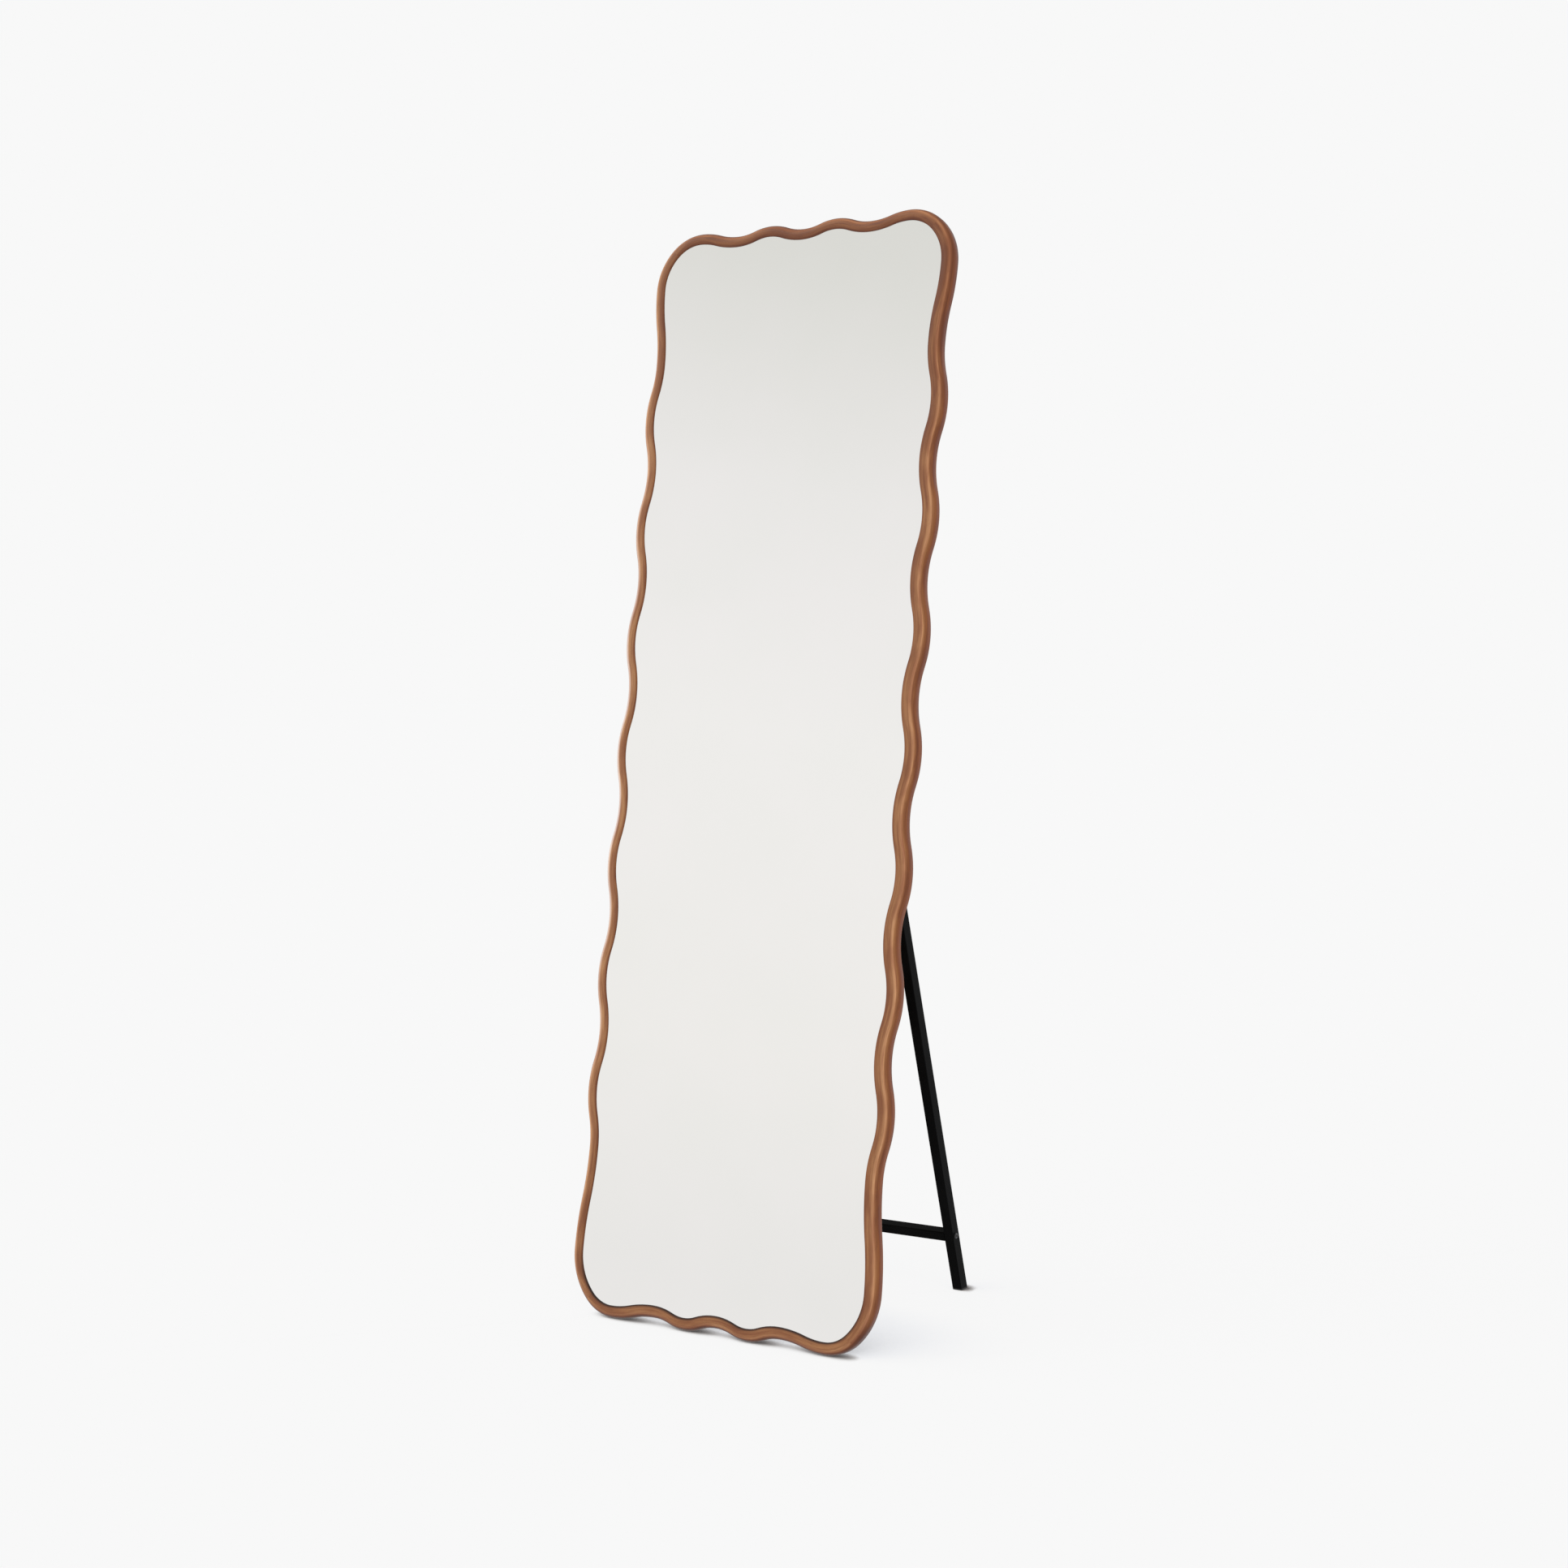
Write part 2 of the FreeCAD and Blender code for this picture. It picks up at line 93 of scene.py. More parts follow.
def selectVertices(obj, test):
    # called in edit mode: it leaves and comes back so that the choice is stored
    bpy.ops.mesh.select_all(action="DESELECT")
    bpy.ops.mesh.select_mode(type="VERT")
    objectMode()
    for vertex in obj.data.vertices:
        vertex.select = test(vertex.co)
    bpy.ops.object.mode_set(mode="EDIT")


def selectFaces(obj, test):
    bpy.ops.mesh.select_all(action="DESELECT")
    bpy.ops.mesh.select_mode(type="FACE")
    objectMode()
    for face in obj.data.polygons:
        face.select = test(face)
    bpy.ops.object.mode_set(mode="EDIT")


def near(point, x, y, gap=0.05 * mm):
    return abs(point.x - x) < gap and abs(point.y - y) < gap


def paint(obj, material):
    obj.data.materials.clear()
    obj.data.materials.append(material)


def paintNode(name, material):
    mesh = nodes[name].data
    mesh.materials.clear()
    mesh.materials.append(material)


def toLinear(code):
    # sRGB hex to the linear colour that the shaders use
    values = [int(code[place:place + 2], 16) / 255 for place in (1, 3, 5)]
    return [v / 12.92 if v <= 0.04045 else ((v + 0.055) / 1.055) ** 2.4 for v in values] + [1]


def newMaterial(name):
    material = bpy.data.materials.new(name)
    material.use_nodes = True
    material.node_tree.nodes.clear()
    return material


def addNode(tree, kind, inputs=None, stops=None, **settings):
    # a Mix of colours takes its share at 0 and the colours at 6 and 7, and gives output 2;
    # a Mix of numbers takes them at 2 and 3, and gives output 0
    node = tree.nodes.new("ShaderNode" + kind)
    for name, value in settings.items():
        setattr(node, name, value)
    for name, value in (inputs or {}).items():
        if isinstance(value, bpy.types.NodeSocket):
            tree.links.new(value, node.inputs[name])
        else:
            node.inputs[name].default_value = value
    if stops:
        ramp = node.color_ramp
        while len(ramp.elements) < len(stops):
            ramp.elements.new(0.5)
        for element, (place, colour) in zip(ramp.elements, stops):
            element.position = place
            element.color = toLinear(colour)
    return node


def stainedWalnut():
    # A hardwood moulding, sanded round, wiped with a reddish walnut stain and sprayed with satin
    # lacquer. The stain sits deeper in the soft grain, so it gives fine streaks that run along the
    # wave, with short dark pores and slow drifts from red to tan. Over this the colour carries
    # painted light and shade: a painted highlight along the shoulder, painted shade towards the
    # glass and down the outer side, and painted shade and glare by place on the frame. The lacquer
    # gives a soft broad shine.
    finish = {
        "drifts": [(0.40, "#C68D67"), (0.51, "#DBA478"), (0.62, "#EBB788")],
        "roughness": (0.37, 0.48),
        "poreDepth": 0.2,
        "gloss": 0.3,
        "coat": 0.05,
    }
    # each pattern of the grain: its size, and where its colour shows and how much
    grain = {
        "drift": {"length": 70, "width": 9, "detail": 2.0, "warp": 0.4},
        "streak": {"length": 60, "width": 1.5, "detail": 4.0, "warp": 0.3,
                   "starts": 0.45, "full": 0.66, "share": 0.50, "colour": "#A36341"},
        "pore": {"length": 12, "width": 0.45, "detail": 2.0, "warp": 0.0,
                 "starts": 0.60, "full": 0.74, "share": 0.55, "colour": "#7C4929"},
    }
    # painted light and shade across the section, by the place that tiltOut gives: painted shade
    # towards the glass, a painted highlight along the shoulder and painted shade down the outer
    # side
    shadeRange = (-10, 100)
    paintedSectionShades = [
        (-6.5, "#A78C75"), (-4.8, "#B2A291"), (-2.0, "#BFB2A2"), (8.0, "#C5BAAD"),
        (18.0, "#D0CAC1"), (27.0, "#EEECEB"), (33.0, "#F8FAFD"), (38.0, "#FFFFFF"),
        (43.0, "#E0D3C6"), (48.0, "#CEBDA8"), (54.0, "#BEA88D"), (62.0, "#B79A7A"),
        (75.0, "#B28E60"), (88.0, "#B28249"), (100.0, "#B17F46"),
    ]
    # Painted light and shade laid on by place. The whole frame but the left stile's middle gets
    # painted shade, so that the left stile reads as lit from the left; the head gets painted
    # shade, except at its left end; at the foot the lip by the glass and the underside get painted
    # shade; and the left stile's shoulder gets a painted glare. Each fade gives a way, where it
    # starts and where it is full: X and Z in metres, or tilt as tiltOut gives it.
    paintedLayers = {
        "paintedShadeOffLeftStile": {"tone": "#E5DAD1", "outside": True, "fades": [
            ("X", -0.20, -0.235), ("Z", 0.20, 0.46), ("Z", 1.54, 1.20)]},
        "paintedShadeAtHead": {"tone": "#DDCCC1", "fades": [("Z", 1.14, 1.56), ("X", -0.25, -0.17)]},
        "paintedShadeFootLip": {"tone": "#55402F", "fades": [("Z", 0.11, 0.03), ("tilt", -2.5, -7.0)]},
        "underside": {"tone": "#B89F92", "fades": [("Z", 0.07, 0.03), ("tilt", 12.0, 50.0)]},
        "paintedGlareLeftShoulder": {"tone": "#EDE0DB", "share": 0.55, "blend": "MIX", "fades": [
            ("X", -0.20, -0.235), ("Z", 0.25, 0.70), ("Z", 1.40, 0.80),
            ("tilt", 10.0, 32.0), ("tilt", 75.0, 45.0)]},
    }
    material = newMaterial("stainedWalnut")
    tree = material.node_tree
    place = addNode(tree, "Attribute", attribute_name="grainPlace").outputs["Vector"]
    tilt = addNode(tree, "Attribute", attribute_name="tiltOut").outputs["Fac"]

    def pattern(name):
        # noise that is drawn out along the member
        size = grain[name]
        scale = (1 / (size["length"] * mm), 1 / (size["width"] * mm), 1 / (size["width"] * mm))
        mapped = addNode(tree, "Mapping", {"Vector": place, "Scale": scale})
        return addNode(tree, "TexNoise", {
            "Vector": mapped.outputs["Vector"], "Scale": 1.0, "Detail": size["detail"],
            "Roughness": 0.55, "Distortion": size["warp"]}).outputs["Fac"]

    drift = pattern("drift")
    colour = addNode(tree, "ValToRGB", {"Fac": drift}, stops=finish["drifts"]).outputs["Color"]
    marks = {}
    for name in ("streak", "pore"):
        mark = grain[name]
        marks[name] = addNode(tree, "MapRange", {
            "Value": pattern(name), "From Min": mark["starts"], "From Max": mark["full"],
            "To Max": mark["share"]}).outputs["Result"]
        colour = addNode(tree, "Mix", {
            0: marks[name], 6: colour, 7: toLinear(mark["colour"])},
            data_type="RGBA").outputs[2]

    # the painted section shade and highlight multiply the stain's colour
    low, high = shadeRange
    across = addNode(tree, "MapRange", {"Value": tilt, "From Min": low, "From Max": high})
    shade = addNode(tree, "ValToRGB", {"Fac": across.outputs["Result"]}, stops=[
        ((turn - low) / (high - low), tone) for turn, tone in paintedSectionShades])
    colour = addNode(tree, "Mix", {0: 1.0, 6: colour, 7: shade.outputs["Color"]},
                     data_type="RGBA", blend_type="MULTIPLY").outputs[2]

    spot = addNode(tree, "SeparateXYZ", {
        "Vector": addNode(tree, "TexCoord").outputs["Object"]})
    ways = {"X": spot.outputs["X"], "Z": spot.outputs["Z"], "tilt": tilt}
    # each layer of painted light or shade multiplies the colour, or mixes in the painted glare, by
    # the product of its fades
    for paintedLayer in paintedLayers.values():
        amount = paintedLayer.get("share", 1.0)
        for way, start, full in paintedLayer["fades"]:
            fade = addNode(tree, "MapRange", {
                "Value": ways[way], "From Min": start, "From Max": full},
                interpolation_type="SMOOTHSTEP")
            amount = addNode(tree, "Math", {0: amount, 1: fade.outputs["Result"]},
                             operation="MULTIPLY").outputs["Value"]
        if "outside" in paintedLayer:
            amount = addNode(tree, "Math", {0: 1.0, 1: amount},
                             operation="SUBTRACT").outputs["Value"]
        colour = addNode(tree, "Mix", {0: amount, 6: colour, 7: toLinear(paintedLayer["tone"])},
                         data_type="RGBA", blend_type=paintedLayer.get("blend", "MULTIPLY")).outputs[2]

    smooth, rough = finish["roughness"]
    shine = addNode(tree, "MapRange", {
        "Value": drift, "From Min": 0.3, "From Max": 0.7, "To Min": smooth, "To Max": rough})
    relief = addNode(tree, "Bump", {
        "Height": marks["pore"], "Strength": 0.25, "Distance": finish["poreDepth"] * mm},
        invert=True)
    surface = addNode(tree, "BsdfPrincipled", {
        "Base Color": colour, "Roughness": shine.outputs["Result"],
        "Normal": relief.outputs["Normal"], "IOR": 1.48, "Specular IOR Level": finish["gloss"],
        "Coat Weight": finish["coat"], "Coat Roughness": 0.3})
    addNode(tree, "OutputMaterial", {"Surface": surface.outputs["BSDF"]})
    return material


def silveredGlass():
    # 4 mm float glass silvered on its back: almost a perfect reflector with a very faint warm
    # grey cast, and the lightest uneven haze of wiped dust.
    finish = {
        "silver": "#F6F4F2",
        "haze": "#F4F3F0",
        "patch": 140,
        "roughness": (0.01, 0.02),
    }
    material = newMaterial("silveredGlass")
    tree = material.node_tree
    place = addNode(tree, "TexCoord").outputs["Object"]
    patches = addNode(tree, "TexNoise", {
        "Vector": place, "Scale": 1 / (finish["patch"] * mm), "Detail": 3.0, "Roughness": 0.5})
    tint = addNode(tree, "ValToRGB", {"Fac": patches.outputs["Fac"]}, stops=[
        (0.35, finish["silver"]), (0.80, finish["haze"])])
    clean, dusty = finish["roughness"]
    wipe = addNode(tree, "MapRange", {
        "Value": patches.outputs["Fac"], "From Min": 0.4, "From Max": 0.8,
        "To Min": clean, "To Max": dusty})
    surface = addNode(tree, "BsdfPrincipled", {
        "Base Color": tint.outputs["Color"], "Metallic": 1.0,
        "Roughness": wipe.outputs["Result"]})
    addNode(tree, "OutputMaterial", {"Surface": surface.outputs["BSDF"]})
    return material


def powderCoat():
    # Steel tube and plate under a matt black powder coat, deeper and less glossy than most.
    # Baked powder flows out to a fine orange peel, drawn here at 1.6 mm, coarser than the real
    # 0.6 mm, so that it shows, and a slightly worn tone drifts over it.
    finish = {
        "black": "#0A0A0A",
        "worn": "#121213",
        "peel": 1.6,
        "peelDepth": 0.3,
        "cloud": 60,
        "roughness": (0.44, 0.56),
        "gloss": 0.025,
    }
    material = newMaterial("powderCoat")
    tree = material.node_tree
    place = addNode(tree, "TexCoord").outputs["Object"]
    cloud = addNode(tree, "TexNoise", {
        "Vector": place, "Scale": 1 / (finish["cloud"] * mm), "Detail": 3.0})
    tone = addNode(tree, "ValToRGB", {"Fac": cloud.outputs["Fac"]}, stops=[
        (0.35, finish["black"]), (0.75, finish["worn"])])
    peel = addNode(tree, "TexNoise", {
        "Vector": place, "Scale": 1 / (finish["peel"] * mm), "Detail": 1.0})
    relief = addNode(tree, "Bump", {
        "Height": peel.outputs["Fac"], "Strength": 0.12, "Distance": finish["peelDepth"] * mm})
    smooth, rough = finish["roughness"]
    shine = addNode(tree, "MapRange", {
        "Value": cloud.outputs["Fac"], "From Min": 0.3, "From Max": 0.7,
        "To Min": smooth, "To Max": rough})
    surface = addNode(tree, "BsdfPrincipled", {
        "Base Color": tone.outputs["Color"], "Roughness": shine.outputs["Result"],
        "Normal": relief.outputs["Normal"], "IOR": 1.5, "Specular IOR Level": finish["gloss"]})
    addNode(tree, "OutputMaterial", {"Surface": surface.outputs["BSDF"]})
    return material


def plainFibreboard():
    # Medium-density fibreboard, sanded and left plain: a flat warm brown of pressed wood dust
    # with pale and dark fibres, drawn about 2 mm long so that they show, and no shine.
    finish = {
        "dark": "#7A5F45",
        "mid": "#93765A",
        "pale": "#A98D6E",
        "fibre": 2.2,
        "fibreDepth": 0.3,
        "patch": 45,
        "patchShare": 0.14,
        "roughness": 0.88,
    }
    material = newMaterial("plainFibreboard")
    tree = material.node_tree
    place = addNode(tree, "TexCoord").outputs["Object"]
    fibre = addNode(tree, "TexNoise", {
        "Vector": place, "Scale": 1 / (finish["fibre"] * mm), "Detail": 3.0, "Roughness": 0.7})
    patch = addNode(tree, "TexNoise", {
        "Vector": place, "Scale": 1 / (finish["patch"] * mm), "Detail": 2.0})
    blend = addNode(tree, "Mix", {
        0: finish["patchShare"], 2: fibre.outputs["Fac"], 3: patch.outputs["Fac"]})
    tone = addNode(tree, "ValToRGB", {"Fac": blend.outputs[0]}, stops=[
        (0.38, finish["dark"]), (0.50, finish["mid"]), (0.64, finish["pale"])])
    relief = addNode(tree, "Bump", {
        "Height": fibre.outputs["Fac"], "Strength": 0.2, "Distance": finish["fibreDepth"] * mm})
    surface = addNode(tree, "BsdfPrincipled", {
        "Base Color": tone.outputs["Color"], "Roughness": finish["roughness"],
        "Normal": relief.outputs["Normal"], "Specular IOR Level": 0.3})
    addNode(tree, "OutputMaterial", {"Surface": surface.outputs["BSDF"]})
    return material


platings = {
    "cloud": 5,
    "grit": 0.5,
    "gritDepth": 0.1,
    "brightZinc": {"pale": "#C9C8C2", "dark": "#A9A9A4", "roughness": (0.29, 0.42)},
    "blackZinc": {"pale": "#5B5B5C", "dark": "#444446", "roughness": (0.33, 0.46)},
}


def platedSteel(name):
    # Cold-headed steel screws and bolts, bright or black zinc plated: a thin even metal shine
    # with cloudy passivation, a little rougher where the plating is thick.
    look = platings[name]
    material = newMaterial(name)
    tree = material.node_tree
    place = addNode(tree, "TexCoord").outputs["Object"]
    cloud = addNode(tree, "TexNoise", {
        "Vector": place, "Scale": 1 / (platings["cloud"] * mm), "Detail": 2.0})
    tone = addNode(tree, "ValToRGB", {"Fac": cloud.outputs["Fac"]}, stops=[
        (0.35, look["dark"]), (0.70, look["pale"])])
    grit = addNode(tree, "TexNoise", {"Vector": place, "Scale": 1 / (platings["grit"] * mm)})
    relief = addNode(tree, "Bump", {
        "Height": grit.outputs["Fac"], "Strength": 0.1, "Distance": platings["gritDepth"] * mm})
    smooth, rough = look["roughness"]
    shine = addNode(tree, "MapRange", {
        "Value": cloud.outputs["Fac"], "From Min": 0.3, "From Max": 0.7,
        "To Min": smooth, "To Max": rough})
    surface = addNode(tree, "BsdfPrincipled", {
        "Base Color": tone.outputs["Color"], "Metallic": 1.0,
        "Roughness": shine.outputs["Result"], "Normal": relief.outputs["Normal"]})
    addNode(tree, "OutputMaterial", {"Surface": surface.outputs["BSDF"]})
    return material


smallPieces = {
    "grainDepth": 0.2,
    "capPolypropylene": {"base": "#191919", "shade": "#121212", "grain": 0.8,
                         "roughness": 0.5, "ior": 1.49},
    "footRubber": {"base": "#161616", "shade": "#0E0E0E", "grain": 0.6,
                   "roughness": 0.78, "ior": 1.52},
    "bushNylon": {"base": "#E6E3D8", "shade": "#D9D5C8", "grain": 1.0,
                  "roughness": 0.42, "ior": 1.53},
    "padFoam": {"base": "#D4D3CC", "shade": "#B4B3AC", "grain": 0.9,
                "roughness": 0.9, "ior": 1.5},
    "dowelBeech": {"base": "#C9A27A", "shade": "#B28A62", "grain": 1.2,
                   "roughness": 0.7, "ior": 1.5},
}


def evenGrained(name):
    # Small pieces of one colour all through, with hardly any variation: moulded polypropylene,
    # rubber and nylon show the fine even grain of the mould, foam its cells, beech its flecks.
    look = smallPieces[name]
    material = newMaterial(name)
    tree = material.node_tree
    place = addNode(tree, "TexCoord").outputs["Object"]
    speck = addNode(tree, "TexNoise", {
        "Vector": place, "Scale": 1 / (look["grain"] * mm), "Detail": 2.0, "Roughness": 0.6})
    tone = addNode(tree, "ValToRGB", {"Fac": speck.outputs["Fac"]}, stops=[
        (0.35, look["shade"]), (0.65, look["base"])])
    relief = addNode(tree, "Bump", {
        "Height": speck.outputs["Fac"], "Strength": 0.2,
        "Distance": smallPieces["grainDepth"] * mm})
    surface = addNode(tree, "BsdfPrincipled", {
        "Base Color": tone.outputs["Color"], "Roughness": look["roughness"],
        "Normal": relief.outputs["Normal"], "IOR": look["ior"]})
    addNode(tree, "OutputMaterial", {"Surface": surface.outputs["BSDF"]})
    return material


walnut = stainedWalnut()
mirrorSilver = silveredGlass()
blackCoat = powderCoat()
fibreboard = plainFibreboard()
brightZinc = platedSteel("brightZinc")
blackZinc = platedSteel("blackZinc")
capPlastic = evenGrained("capPolypropylene")
footRubber = evenGrained("footRubber")
bushNylon = evenGrained("bushNylon")
padFoam = evenGrained("padFoam")
dowelBeech = evenGrained("dowelBeech")
print("materials made")


# The wavy outline: each half wave is two equal arcs, and each corner lobe two others.
wave = {
    "height": 1600,
    "width": 500,
    "sideHalf": 83,  # length of half a wave
    "sideCount": 7,  # equal half waves from the middle on, before the corner's own
    "sideDepth": 11,
    "sideRise": 20,  # how far the sides' waves are centred above the middle
    "topHalf": 55.5,
    "bottomHalf": 51.5,
    "endCount": 2,
    "endDepth": 10,
    "cornerWidth": 75,
    "topCorner": 82,
    "bottomCorner": 90,
}

# The moulding's section, as insets from the outer edge and depths from the front.
moulding = {
    "width": 18,
    "depth": 20,
    "outerRound": 11,
    "outerSegments": 9,
    "frontFall": 0.7,  # the front falls this much towards the glass
    "innerRound": 0.7,
    "innerSegments": 3,
    "lipDepth": 2.4,  # the glass lies behind this lip
    "rebate": 12,
    "stepDepth": 8,  # the board lies in a second, wider rebate
    "backWall": 6,
    "backChamfer": 1,
    "chamferSegments": 2,
    "ringSpacing": 5,  # between the rings of vertices along the wave
    "smoothAngle": 35,
    "grainShift": 3,  # metres of grain between members, so that no two are alike
}


def halfWave(length, depth, bulges):
    # two equal arcs that step sideways by depth, as (radius, turn)
    turn = 2 * math.atan(depth / length)
    radius = length / (2 * math.sin(turn))
    sign = 1 if bulges else -1
    return [(radius, sign * turn), (radius, -sign * turn)]


def edgeHalf(run, half, depth, count, bulges):
    # the arcs from the middle of an edge to where its corner starts
    arcs = []
    for number in range(count):
        arcs += halfWave(half, depth, bulges == (number % 2 == 0))
    return arcs + halfWave(run - count * half, depth, False)


def memberArcs():
    middle = wave["height"] / 2 + wave["sideRise"]
    runOut = wave["width"] / 2 - wave["cornerWidth"]
    runUp = wave["height"] - middle - wave["topCorner"]
    runDown = middle - wave["bottomCorner"]
    rise = edgeHalf(runUp, wave["sideHalf"], wave["sideDepth"], wave["sideCount"], True)
    fall = edgeHalf(runDown, wave["sideHalf"], wave["sideDepth"], wave["sideCount"], True)
    top = edgeHalf(runOut, wave["topHalf"], wave["endDepth"], wave["endCount"], False)
    bottom = edgeHalf(runOut, wave["bottomHalf"], wave["endDepth"], wave["endCount"], False)

    def corner(height):
        # the side's arc and the end's, an eighth turn each, which meet at the joint
        shift = (height - wave["cornerWidth"]) / (2 - math.sqrt(2))
        sideArc = (wave["cornerWidth"] + shift, math.pi / 4)
        endArc = (height - shift, math.pi / 4)
        return [sideArc], [endArc]

    low, lowEnd = corner(wave["bottomCorner"])
    high, highEnd = corner(wave["topCorner"])
    return {
        "right_stile": low + fall[::-1] + rise + high,
        "top_rail": highEnd + top[::-1] + top + highEnd,
        "left_stile": high + rise[::-1] + fall + low,
        "bottom_rail": lowEnd + bottom[::-1] + bottom + lowEnd,
    }


def traceBends(start, heading, arcs):
    # each bend's centre, radius and turn in metres, and how far along the member it starts
    bends = []
    length = 0
    for radius, turn in arcs:
        radius *= mm
        inward = Vector((-math.sin(heading), math.cos(heading), 0))
        centre = start + inward * math.copysign(radius, turn)
        bends.append({
            "centre": centre, "radius": radius, "turn": turn, "start": start, "length": length})
        start = centre + Matrix.Rotation(turn, 3, "Z") @ (start - centre)
        heading += turn
        length += radius * abs(turn)
    return bends, start, heading


def sectionFace(name):
    # a rectangle scored at the two rebates, cleared there, and rounded at its corners
    width, depth = moulding["width"] * mm, moulding["depth"] * mm
    bpy.ops.object.select_all(action="DESELECT")
    bpy.ops.mesh.primitive_plane_add(size=1, location=(width / 2, -depth / 2, 0))
    obj = bpy.context.object
    obj.name = name
    obj.scale = (width, depth, 1)
    bpy.ops.object.transform_apply(location=True, rotation=True, scale=True)
    rebate, wall = moulding["rebate"] * mm, moulding["backWall"] * mm
    lip, step = moulding["lipDepth"] * mm, moulding["stepDepth"] * mm
    editMode(obj)
    for place, normal in (((rebate, 0, 0), (1, 0, 0)), ((wall, 0, 0), (1, 0, 0)),
                          ((0, -lip, 0), (0, 1, 0)), ((0, -step, 0), (0, 1, 0))):
        bpy.ops.mesh.select_all(action="SELECT")
        bpy.ops.mesh.bisect(plane_co=place, plane_no=normal)

    def inRebate(face):
        return ((face.center.x > rebate and face.center.y < -lip)
                or (face.center.x > wall and face.center.y < -step))

    selectFaces(obj, inRebate)
    bpy.ops.mesh.delete(type="FACE")
    bpy.ops.mesh.select_all(action="SELECT")
    bpy.ops.mesh.dissolve_limited(angle_limit=math.radians(1))
    selectVertices(obj, lambda point: near(point, width, 0))
    bpy.ops.transform.translate(value=(0, -moulding["frontFall"] * mm, 0))
    corners = (
        (0, 0, "outerRound", "outerSegments"),
        (width, -moulding["frontFall"] * mm, "innerRound", "innerSegments"),
        (0, -depth, "backChamfer", "chamferSegments"),
    )
    for x, y, size, segments in corners:
        selectVertices(obj, lambda point: near(point, x, y))
        bpy.ops.mesh.bevel(
            offset=moulding[size] * mm, segments=moulding[segments], affect="VERTICES")
    objectMode()
    return obj


def grainPlace(point, bends):
    # how far along the member, how far in and how high a point lies
    slack = 0.01  # of a bend, for points on the plane where two bends meet
    widest = 1.1 * moulding["width"] * mm
    for bend in bends:
        arm = (point - bend["centre"]).to_2d()
        first = (bend["start"] - bend["centre"]).to_2d()
        angle = math.atan2(first.cross(arm), first.dot(arm))
        share = angle / bend["turn"]
        reach = arm.length - bend["radius"]
        if -slack < share < 1 + slack and abs(reach) < widest:
            inset = reach if bend["turn"] < 0 else -reach
            return bend["length"] + share * bend["radius"] * abs(bend["turn"]), inset, point.z
    return 0, 0, point.z


def tiltOut(inset, depth):
    # where on the section a point lies: 0 at the crown, 90 where the shoulder meets the
    # outer side, more down that side, and below 0 in millimetres towards the glass
    outer = moulding["outerRound"] * mm
    if inset >= outer:
        return (outer - inset) / mm - max(0, depth / mm - moulding["frontFall"])
    if depth >= outer:
        return 90 + (depth - outer) / mm
    return math.degrees(math.atan2(outer - inset, outer - depth))


def frameMember(name, start, heading, arcs, number):
    # the section is spun round one bend after another, and the ends are closed
    bends, end, endHeading = traceBends(start, heading, arcs)
    obj = sectionFace(name + "_wood")
    turned = Matrix.Rotation(heading + math.pi / 2, 4, "Z") @ Matrix.Rotation(math.pi / 2, 4, "X")
    applyPlace(obj, Matrix.Translation(start) @ turned)
    editMode(obj)
    bpy.ops.mesh.select_all(action="SELECT")
    bpy.ops.mesh.delete(type="ONLY_FACE")
    bpy.ops.mesh.select_all(action="SELECT")
    for bend in bends:
        steps = max(2, round(bend["radius"] * abs(bend["turn"]) / (moulding["ringSpacing"] * mm)))
        bpy.ops.mesh.spin(steps=steps, angle=-bend["turn"], center=bend["centre"], axis=(0, 0, 1))
    bpy.ops.mesh.select_all(action="SELECT")
    bpy.ops.mesh.fill_holes(sides=0)
    bpy.ops.mesh.select_all(action="SELECT")
    bpy.ops.mesh.normals_make_consistent(inside=False)
    objectMode()
    places, tilts = [], []
    for vertex in obj.data.vertices:
        along, inset, height = grainPlace(vertex.co, bends)
        places += [along + moulding["grainShift"] * number, inset, height]
        tilts.append(tiltOut(inset, -height))
    grain = obj.data.attributes.new("grainPlace", "FLOAT_VECTOR", "POINT")
    grain.data.foreach_set("vector", places)
    tilt = obj.data.attributes.new("tiltOut", "FLOAT", "POINT")
    tilt.data.foreach_set("value", tilts)
    bpy.ops.object.shade_smooth_by_angle(angle=math.radians(moulding["smoothAngle"]))
    applyPlace(obj, standing)
    paint(obj, walnut)
    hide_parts(name)
    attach(obj, "mirror")
    return end, endHeading


def makeFrame():
    # the right stile starts at the joint in the lower right lobe, and the others follow round
    members = memberArcs()
    lowRadius = members["right_stile"][0][0]
    diagonal = Vector((math.sqrt(0.5), -math.sqrt(0.5), 0))
    corner = Vector((wave["width"] / 2 - lowRadius, wave["bottomCorner"], 0))
    place, heading = (corner + diagonal * lowRadius) * mm, math.pi / 4
    for number, (name, arcs) in enumerate(members.items()):
        place, heading = frameMember(name, place, heading, arcs, number)


makeFrame()
print("wavy frame made")


# The screws of the back, with sizes as the frame has them, and with cross recesses.
screws = {
    "board": {"head": 4.6, "rise": 0, "sink": 1.0, "shank": 2.6, "length": 14, "depth": 17,
              "recessSpan": 2.8, "recessWidth": 0.62, "recessDepth": 0.8},
    "bracket": {"head": 7, "rise": 2, "sink": 0, "shank": 3.5, "length": 9, "depth": 19,
                "recessSpan": 4.0, "recessWidth": 0.85, "recessDepth": 1.3},
    "inset": 9.6,  # of the board's screws, from the outer edge
    "legOffset": 184,
    "bracketStep": (18, 24),  # of a bracket's screws, from the hinge
    "sides": 32,
    "tipLength": 2.5,
    "tipShare": 0.15,  # the tip's width, of the shank's
    "domeShare": 0.62,  # a pan head's rounding, of its height
    "domeSegments": 5,
    "rim": 0.12,  # a countersunk head's softened edge
    "rimSegments": 2,
    "bladeShare": 0.6,  # width of the blade's foot, of its top's, for the cross recess
    "turnEach": 37,  # between one screw's cross and the next one's
    "smoothAngle": 30,
}


